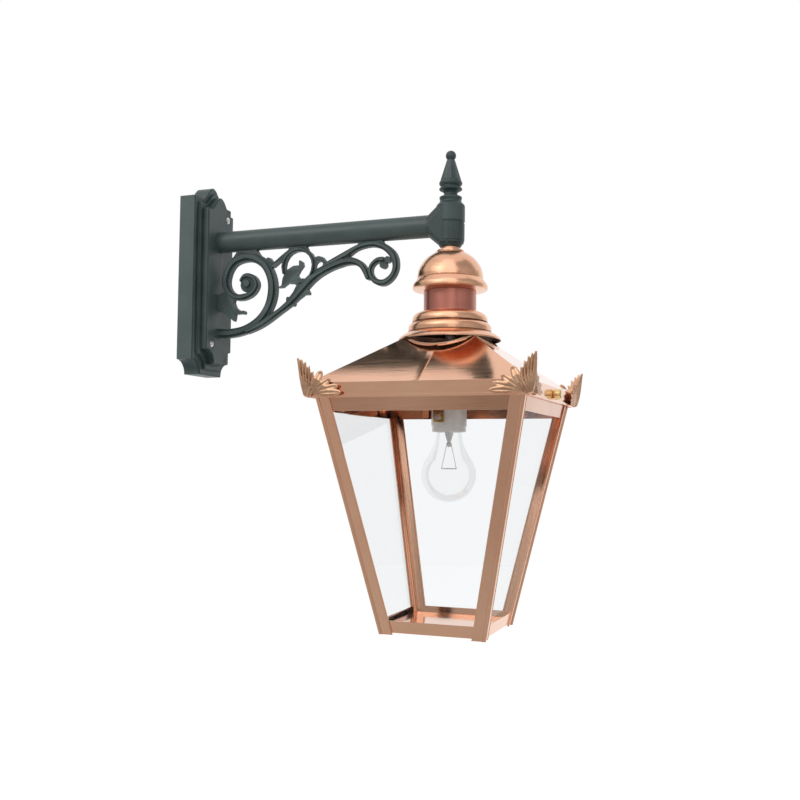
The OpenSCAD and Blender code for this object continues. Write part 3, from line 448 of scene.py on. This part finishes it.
# %% Easing radii in millimetres, and the finish of each solid
DRESS = {
    "wall_plate": (0.9, PAINT), "arm_tube": (0.3, PAINT), "scroll_casting": (1.1, PAINT),
    "arm_fitting": (0.5, PAINT), "finial": (0.4, PAINT),
    "neck_collar": (0.4, SPUN), "chimney_dome": (0.25, SPUN), "chimney_drum": (0.1, SHADED_DRUM_COPPER),
    "chimney_skirt": (0.25, SPUN), "roof": (0.3, ROOF_COPPER),
    "top_frame": (0.2, SHADED_RAIL_COPPER), "base_tray": (0.3, ROOF_COPPER),
    "post_wall_near": (0.5, POST_COPPER), "post_wall_far": (0.5, POST_COPPER),
    "post_front_near": (0.5, POST_COPPER), "post_front_far": (0.5, POST_COPPER),
    "glazing_clips": (0.1, ROOF_COPPER), "roof_crossbar": (0.3, ZINC), "hanger_tube": (0.2, ZINC),
    "hanger_nuts": (0.3, ZINC), "mounting_strap": (0.3, ZINC), "plate_screws": (0.3, ZINC),
    "bracket_screws": (0.2, ZINC), "hinge_pin": (0.2, ZINC), "terminal_screws": (0.1, BRASS),
    "lamp_bracket": (0.3, BRASS), "lampholder_shell": (0.3, BRASS), "hinge_roof_leaf": (0.2, BRASS),
    "hinge_body_leaf": (0.2, BRASS), "catch_bracket": (0.2, BRASS), "catch_knob": (0.2, BRASS),
    "terminal_block": (0.4, CERAMIC), "lampholder": (0.8, CERAMIC), "lamp_cap": (0.3, CAP_METAL),
    "lamp_filament": (0.0, WIRE), "lamp_glass": (0.0, BULB),
    "glass_wall": (0.0, PANE), "glass_front": (0.0, PANE),
    "glass_near": (0.0, PANE), "glass_far": (0.0, PANE),
}


def dress(piece, material):
    piece.data.materials.clear()
    piece.data.materials.append(material)
    return piece


shown = {node: dress(eased(node, width), material) for node, (width, material) in DRESS.items()}
print("dressed", len(DRESS), "solids; left bare:", sorted(set(nodes) - set(DRESS)))


# %% [markdown]
# ## Thin glass and painted shade
# Two pieces need their faces sorted by direction. The lamp's solid has an inner and an outer face,
# which would mirror everything twice, so it becomes one skin. The skirt of the chimney is bright on
# the outside, and its hidden faces under the brim are painted near black as painted shade.

# %% Faces picked by their place or direction
def edit_faces(obj, wanted):
    """Opens a mesh for editing with just the faces selected for which wanted(face) holds."""
    edit(obj, "DESELECT")
    bpy.ops.mesh.select_mode(type="FACE")
    leave()
    for face in obj.data.polygons:
        face.select = wanted(face)
    edit(obj, None)


def face_outward(obj):
    """Turns the faces of a closed mesh outward."""
    edit(obj)
    bpy.ops.mesh.normals_make_consistent(inside=False)
    leave()


# %% One skin for the lamp
def single_skin(bulb):
    """Blown glass is thinner than a millimetre: only the outer face is kept and the neck is closed."""
    low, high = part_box("lamp_glass")
    middle = Vector(((low.x + high.x) / 2, (low.y + high.y) / 2, low.z + (high.x - low.x) / 2))
    edit_faces(bulb, lambda face: face.normal.dot(face.center - middle) < 0)
    bpy.ops.mesh.delete(type="FACE")
    bpy.ops.mesh.select_all(action="SELECT")
    bpy.ops.mesh.fill_holes(sides=0)
    leave()
    face_outward(bulb)
    return len(bulb.data.polygons)


print("lamp skin faces:", single_skin(shown["lamp_glass"]))


# %% Painted shade inside the chimney
# how far a face has to point down, or toward the axis, to be one of the hidden ones
FACES_DOWN, FACES_AXIS = -0.35, -0.2


def paint_shade_inside(piece):
    """The hidden faces under the chimney's brim are painted near black, as painted shade under the brim.
    """
    piece.data.materials.append(PAINTED_SHADE)

    def hidden(face):
        outward = Vector((face.center.x - AXIS_X, face.center.y, 0)).normalized()
        return face.normal.z < FACES_DOWN or face.normal.dot(outward) < FACES_AXIS

    edit_faces(piece, hidden)
    piece.active_material_index = 1
    bpy.ops.object.material_slot_assign()
    leave()
    return sum(face.material_index for face in piece.data.polygons)


print("shade_painted faces:", paint_shade_inside(shown["chimney_skirt"]))


# %% [markdown]
# ## Corner leaves
# Each eaves corner carries a cast acanthus leaf: a palm of four lobes lies on either face of the band
# and a serrated blade stands up between them. A founder would carve one pattern and cast four. Here
# the pattern is built the same way, from ribs laid side by side like strips of wax: a small disc is
# extruded from point to point and sized at each, a thin blade goes behind them, and a voxel remesh
# melts the lot into one casting. In leaf space the corner is the origin, the faces run along +X and
# +Y, and everything in front of them is negative.

# %% Sizes of the leaf, in millimetres
ROOT = (5.0, 4.6)
# each lobe: its tip along the face and above the band's foot, its width, and how far its end curls out
LOBES = [((38, 4.8), 7.0, 3.6), ((34.4, 11.6), 7.2, 3.2), ((26, 19), 7.2, 2.2), ((15.5, 27.4), 7.6, 1.2)]
# each step along a lobe: the share of its length, how far its two ribs part, how far they stand out
LOBE_STEPS = ((0, 0.35, 1.0), (0.3, 0.9, 4.4), (0.62, 1.1, 4.6), (0.88, 0.8, 2.8), (1, 0.25, 3.2))
# a rib's thickness at each step, as a share of its usual one, which is a little over half a lobe
LOBE_SWELL = (0.55, 0.9, 1.15, 0.95, 0.45)
RIB_SHARE = 0.56
PALM_FLAT, PALM_LOWEST = 0.55, 1.4
BLADE_HIGH, BLADE_THICK, BLADE_LEAN = 41.0, 1.5, 0.10
RIDGE_FOOT, RIDGE_TIP = Vector((-3.0, -3.0, 0.6)), Vector((-9.2, -9.2, BLADE_HIGH))
# the blade's outline and the tips of its ribs, across from the ridge and above the band's foot
BLADE_EDGE = [(0, 0), (6.6, 0), (10.4, 9), (12.4, 18), (14.4, 26.4), (10.8, 25.2), (11.4, 32.4),
              (7.8, 30.4), (8.0, 36.8), (5.0, 34.4), (4.4, 39.4), (2.4, 37.4), (0, BLADE_HIGH)]
BLADE_RIBS = [(13.4, 25.0, 1.7), (10.6, 30.8, 1.6), (7.2, 35.2, 1.5), (3.9, 38.2, 1.3), (0.4, 40.2, 1.5)]
# each rib of the blade passes these shares of its tooth's place across and up
RIB_WAY = ((0.15, 0.04), (0.75, 0.5), (1, 1))
RIB_SWELL = (1.1, 1.7, 1.6, 0.7)
# they stand this far in front of the sheet at both ends, and more between
RIB_LIFT, RIB_CREST = Vector((0, -0.35, 0)), Vector((0, -0.84, 0))
print("ribs in a palm:", 2 * len(LOBES), "ribs in half a blade:", len(BLADE_RIBS))


# %% Settle, copy and join
def settle(obj):
    """Moves the object's place into its mesh, so that it sits at the origin unturned."""
    pick(obj)
    bpy.ops.object.transform_apply(location=True, rotation=True, scale=True)
    return obj


def copied(source, name):
    """A copy of an object, with a mesh of its own."""
    twin = source.copy()
    twin.data = source.data.copy()
    twin.name = name
    bpy.context.scene.collection.objects.link(twin)
    return twin


def join(objs, name):
    """Joins objects into the first of them."""
    pick(objs[0])
    for obj in objs[1:]:
        obj.select_set(True)
    bpy.ops.object.join()
    objs[0].name = name
    return objs[0]


# %% One rib and one lobe
def rib(path, widths):
    """A tapering rib: a disc extruded from point to point and sized at each."""
    path = [Vector(spot) for spot in path]
    deselect()
    aim = (path[-1] - path[0]).to_track_quat("Z", "Y").to_euler()
    bpy.ops.mesh.primitive_circle_add(vertices=10, radius=widths[0] / 2 * MM, fill_type="NGON",
                                      location=path[0] * MM, rotation=aim)
    piece = settle(bpy.context.object)
    edit(piece)
    for start, stop, before, after in zip(path, path[1:], widths, widths[1:]):
        bpy.ops.mesh.extrude_region_move(TRANSFORM_OT_translate={"value": (stop - start) * MM})
        bpy.ops.transform.resize(value=(after / before,) * 3, center_override=stop * MM)
    leave()
    face_outward(piece)
    return piece


def lobe(tip, width, curl):
    """Two ribs side by side that bow out from the root, part a little and end in one curled tip."""
    along = Vector((tip[0] - ROOT[0], tip[1] - ROOT[1]))
    side = Vector((-along.y, along.x)).normalized() * width / 4
    made = []
    for sign in (-1, 1):
        path = []
        for share, spread, out in LOBE_STEPS:
            spot = Vector(ROOT) + along * share + side * spread * sign
            path.append((spot.x, -(out + 0.4 * curl * share ** 3) / PALM_FLAT, max(spot.y, PALM_LOWEST)))
        made.append(rib(path, [width * RIB_SHARE * swell for swell in LOBE_SWELL]))
    return made


# %% The blade
def blade_point(across, height):
    """A point of the standing blade: across from its ridge, on the sloping line at that height."""
    ridge = RIDGE_FOOT.lerp(RIDGE_TIP, height / BLADE_HIGH)
    return Vector((ridge.x + across, ridge.y + BLADE_LEAN * across, max(ridge.z, RIDGE_FOOT.z)))


def blade_sheet():
    """The serrated sheet behind the blade's ribs: its outline is drawn by extruding one vertex from
    spot to spot, filled, and extruded to its thickness."""
    spots = [blade_point(*spot) * MM for spot in BLADE_EDGE]
    deselect()
    bpy.ops.mesh.primitive_plane_add(size=MM, location=spots[0])
    piece = settle(bpy.context.object)
    edit(piece)
    bpy.ops.mesh.select_mode(type="VERT")
    bpy.ops.mesh.merge(type="CENTER")
    for start, stop in zip(spots, spots[1:]):
        bpy.ops.mesh.extrude_vertices_move(TRANSFORM_OT_translate={"value": stop - start})
    bpy.ops.mesh.select_all(action="SELECT")
    bpy.ops.mesh.edge_face_add()
    bpy.ops.mesh.select_mode(type="FACE")
    bpy.ops.mesh.extrude_region_move(TRANSFORM_OT_translate={"value": (0, BLADE_THICK * MM, 0)})
    leave()
    face_outward(piece)
    return piece


def blade_rib(across, height, width):
    """A rib that starts at the blade's foot, swings outward and runs up to one tooth."""
    foot, middle, tip = (blade_point(across * aside, height * up) for aside, up in RIB_WAY)
    path = [foot + RIB_LIFT, foot.lerp(middle, 0.5) + RIB_CREST, middle + RIB_CREST, tip + RIB_LIFT]
    return rib(path, [width * swell for swell in RIB_SWELL])


# %% Melt the pattern
MELT = (("REMESH", {"mode": "VOXEL", "voxel_size": 0.42 * MM}),
        ("SMOOTH", {"factor": 0.5, "iterations": 2}),
        ("DECIMATE", {"ratio": 0.3}))


def leaf_half():
    """The palm and half the blade, on the face that runs along +X."""
    palm = join([part for sizes in LOBES for part in lobe(*sizes)], "palm")
    palm.scale.y = PALM_FLAT
    settle(palm)
    return join([palm, blade_sheet()] + [blade_rib(*sizes) for sizes in BLADE_RIBS], "leaf_half")


def leaf_pattern():
    """Both halves as one skin. Swapping X and Y mirrors a half in the corner's diagonal."""
    near = leaf_half()
    other = copied(near, "other_half")
    other.matrix_world = Matrix(((0, 1, 0, 0), (1, 0, 0, 0), (0, 0, 1, 0), (0, 0, 0, 1)))
    settle(other)
    pattern = join([near, other], "leaf_pattern")
    face_outward(pattern)
    for kind, settings in MELT:
        step = pattern.modifiers.new(kind.lower(), kind)
        for key, value in settings.items():
            setattr(step, key, value)
        bpy.ops.object.modifier_apply(modifier=step.name)
    return pattern


pattern = leaf_pattern()
print("faces of the pattern:", len(pattern.data.polygons))


# %% Cast four
CORNERS = {"leaf_wall_near": (-1, -1), "leaf_wall_far": (-1, 1),
           "leaf_front_near": (1, -1), "leaf_front_far": (1, 1)}


def cast_leaf(node, side_x, side_y):
    """A cast of the pattern at one corner, turned so that its palms lie on the corner's two faces."""
    piece = copied(pattern, node + "_cast")
    corner = Matrix.Translation((AXIS_X + side_x * EAVE, side_y * EAVE, BAND_FOOT))
    piece.matrix_world = corner @ Matrix.Diagonal((-side_x, -side_y, 1, 1))
    settle(piece)
    face_outward(piece)
    bpy.ops.object.shade_smooth()
    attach(piece, body_of_node[node])
    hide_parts(node)
    return dress(piece, CAST)


for node, sides in CORNERS.items():
    spots = [vertex.co for vertex in cast_leaf(node, *sides).data.vertices]
    low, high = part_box(node)
    past = [max(low[i] - min(spot[i] for spot in spots), max(spot[i] for spot in spots) - high[i])
            for i in range(3)]
    print(node, "reaches past its solid by mm:", [round(reach / MM, 2) for reach in past])
bpy.data.objects.remove(pattern)


# %% [markdown]
# ## Rolled hem of the vent
# Where the roof is cut away under the chimney's brim, its edge is rolled over a wire, which stiffens
# the thin sheet and catches a bright line of light. The cut is round when seen from above, so on each
# of the four slopes the wire is a shallow arc. One arc is made and turned to the other three sides.

# %% Four arcs of wire, in millimetres
HEM_RADIUS, HEM_THICK, HEM_LIFT = 53.3, 2.3, 0.5
# the height at which the roof's slopes would meet, and how far they fall for each millimetre outward
APEX_Z, SLOPE = -55.38, 0.695


def hem_wire():
    turns = [math.radians(angle) for angle in range(-45, 46, 6)]
    path = [(AXIS_X / MM + HEM_RADIUS * math.sin(turn), -HEM_RADIUS * math.cos(turn),
             APEX_Z - SLOPE * HEM_RADIUS * math.cos(turn) + HEM_LIFT) for turn in turns]
    # the discs all face along the arc's chord, so they are larger where the arc turns away from it
    arcs = [rib(path, [HEM_THICK * (1 + 0.25 * math.sin(turn) ** 2) for turn in turns])]
    axis = Matrix.Translation((AXIS_X, 0, 0))
    for quarter in (1, 2, 3):
        arc = copied(arcs[0], "hem_arc")
        arc.matrix_world = axis @ Matrix.Rotation(quarter * math.pi / 2, 4, "Z") @ axis.inverted()
        arcs.append(settle(arc))
    wire = join(arcs, "vent_hem")
    bpy.ops.object.shade_smooth_by_angle(angle=math.radians(40))
    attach(wire, body_of_node["roof"])
    return dress(wire, SPUN)


print("hem faces:", len(hem_wire().data.polygons))


# %% [markdown]
# ## The studio
# Polished copper has no colour of its own to speak of: it shows what stands around it. A photographer
# therefore builds a tent. It is open to the white room above and behind the lantern, a bright box
# stands high beside the camera with a narrow bright door below it, a dark card stands on the right
# and a pale one on the left, and the walls near eye level and below stay dim. Here the tent is a large
# sphere round the lantern whose faces are sorted by their direction. Only reflections see it, so it
# neither lights the object nor shades it.

# %% World and lamps
WORLD_LIGHT = 0.72


def studio_world():
    """A world that looks white and lights the object a little less than that."""
    world = bpy.data.worlds.new("studio")
    bpy.context.scene.world = world
    world.use_nodes = True
    board = Board(world.node_tree)
    board.tree.nodes.clear()
    lighting = 1 - board.showing()
    strength = 1 - lighting * (1 - WORLD_LIGHT)
    back = board.node("ShaderNodeBackground", values={"Color": (1, 1, 1, 1), "Strength": strength})
    board.node("ShaderNodeOutputWorld", values={"Surface": back})


def soft_lamp(name, place, aim, size, power):
    deselect()
    bpy.ops.object.light_add(type="AREA", location=place)
    lamp = bpy.context.object
    lamp.name = name
    lamp.data.size = size
    lamp.data.energy = power
    lamp.rotation_euler = (Vector(aim) - Vector(place)).to_track_quat("-Z", "Y").to_euler()
    return lamp


studio_world()
centre = (cad_box[0] + cad_box[1]) / 2
soft_lamp("key", (-0.9, -1.9, 1.5), centre, 1.2, 22)
soft_lamp("fill", (1.9, -0.9, 0.4), centre, 1.2, 7)
print("lamps in watts:", [lamp.energy for lamp in bpy.data.lights], "world light", WORLD_LIGHT)


# %% Reflection tent
CAMERA_BEARING = -72.5
TENT_RADIUS = 1.6
# each card: its brightness, then its span in degrees to the right of the camera and above the horizon,
# and where two cards overlap, the one that is listed first counts
CARDS = {
    "tent_box": (1.5, (-45, 20), (16, 72)),
    "tent_door": (1.0, (-6, 16), (-12, 16)),
    "tent_dark": (0.42, (24, 104), (-10, 60)),
    "tent_low": (0.42, (-34, 70), (-56, -8)),
    "tent_dim": (0.52, (-130, 120), (-56, 20)),
    "tent_side": (0.8, (-125, -36), (14, 60)),
}


def card_at(spot):
    """The name of the card that stands in a direction from the lantern, or None where it is open."""
    bearing = math.degrees(math.atan2(spot.y, spot.x)) - CAMERA_BEARING
    right = (bearing + 180) % 360 - 180
    above = math.degrees(math.asin(spot.z / spot.length))
    for name, (_, across, upward) in CARDS.items():
        if across[0] <= right <= across[1] and upward[0] <= above <= upward[1]:
            return name
    return None


def card_finish(name, glow):
    finish = Finish(name, (0, 0, 0), 1.0, Specular_IOR_Level=0.0,
                    Emission_Color=(1, 0.99, 0.97, 1), Emission_Strength=glow)
    return finish.material


def reflection_tent():
    deselect()
    middle = Vector((AXIS_X, 0, dome_low.z))
    bpy.ops.mesh.primitive_uv_sphere_add(segments=120, ring_count=60, radius=TENT_RADIUS,
                                         location=middle)
    tent = bpy.context.object
    tent.name = "reflection_tent"
    for name, card in CARDS.items():
        tent.data.materials.append(card_finish(name, card[0]))
    order = list(CARDS)
    for face in tent.data.polygons:
        face.material_index = order.index(card_at(face.center) or order[0])
    edit_faces(tent, lambda face: card_at(face.center) is None)
    bpy.ops.mesh.delete(type="FACE")
    leave()
    tent.visible_camera = tent.visible_diffuse = tent.visible_transmission = False
    tent.visible_shadow = False
    tent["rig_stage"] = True
    return tent


tent = reflection_tent()
print("tent faces:", len(tent.data.polygons))


# %% Floor
FLOOR_GLOW, FLOOR_BELOW = 0.37, 0.9


def pale_floor():
    """A wide pale floor. Its faint glow brings it up to white in view and lights nothing."""
    deselect()
    bpy.ops.mesh.primitive_circle_add(vertices=96, radius=9, fill_type="NGON",
                                      location=(AXIS_X, 0, cad_box[0].z - FLOOR_BELOW))
    floor = bpy.context.object
    floor.name = "floor"
    finish = Finish("pale_floor", (0.86, 0.86, 0.86), 0.9, Emission_Strength=FLOOR_GLOW)
    finish.feed("Emission Color", finish.blend(finish.showing(), (0, 0, 0), (1, 1, 1)))
    dress(floor, finish.material)
    floor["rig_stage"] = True
    return floor


print("floor at", round(pale_floor().location.z, 2), "m")


# %% [markdown]
# ## The camera
# The photograph's camera was solved from the object's own edges: where it stood, how far it was
# turned, tipped and rolled, and its focal length. Nothing is shifted or cropped.

# %% Camera
CAMERA_PLACE = Vector((645.3, -1017.9, -213.9)) * MM
TURN, TIP, ROLL = math.radians(20.43), math.radians(3.51), math.radians(0.56)
FOCAL_PX, FRAME_PX, SENSOR_MM = 971.67, 800, 36


def photo_camera():
    forward = Vector((-math.sin(TURN) * math.cos(TIP), math.cos(TURN) * math.cos(TIP), math.sin(TIP)))
    level = Vector((math.cos(TURN), math.sin(TURN), 0))
    upright = level.cross(forward)
    right = level * math.cos(ROLL) + upright * math.sin(ROLL)
    up = upright * math.cos(ROLL) - level * math.sin(ROLL)
    bpy.ops.object.camera_add(location=CAMERA_PLACE)
    camera = bpy.context.object
    turned = Matrix((right, up, -forward)).transposed().to_4x4()
    camera.matrix_world = Matrix.Translation(CAMERA_PLACE) @ turned
    camera.data.sensor_width = SENSOR_MM
    camera.data.lens = FOCAL_PX / FRAME_PX * SENSOR_MM
    camera.data.clip_start, camera.data.clip_end = 0.05, 60
    bpy.context.scene.camera = camera
    return camera


print("camera lens in mm:", round(photo_camera().data.lens, 1))
bpy.context.scene.view_settings.view_transform = "Standard"
deselect()


# %% [markdown]
# The box of the visual model is measured, and how far it has grown past the solids' box is printed.

# %% Measure how far the box has grown
shown_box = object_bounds()
growth = (shown_box[1] - shown_box[0]) - (cad_box[1] - cad_box[0])
print("grown by mm:", [round(span / MM, 2) for span in growth])
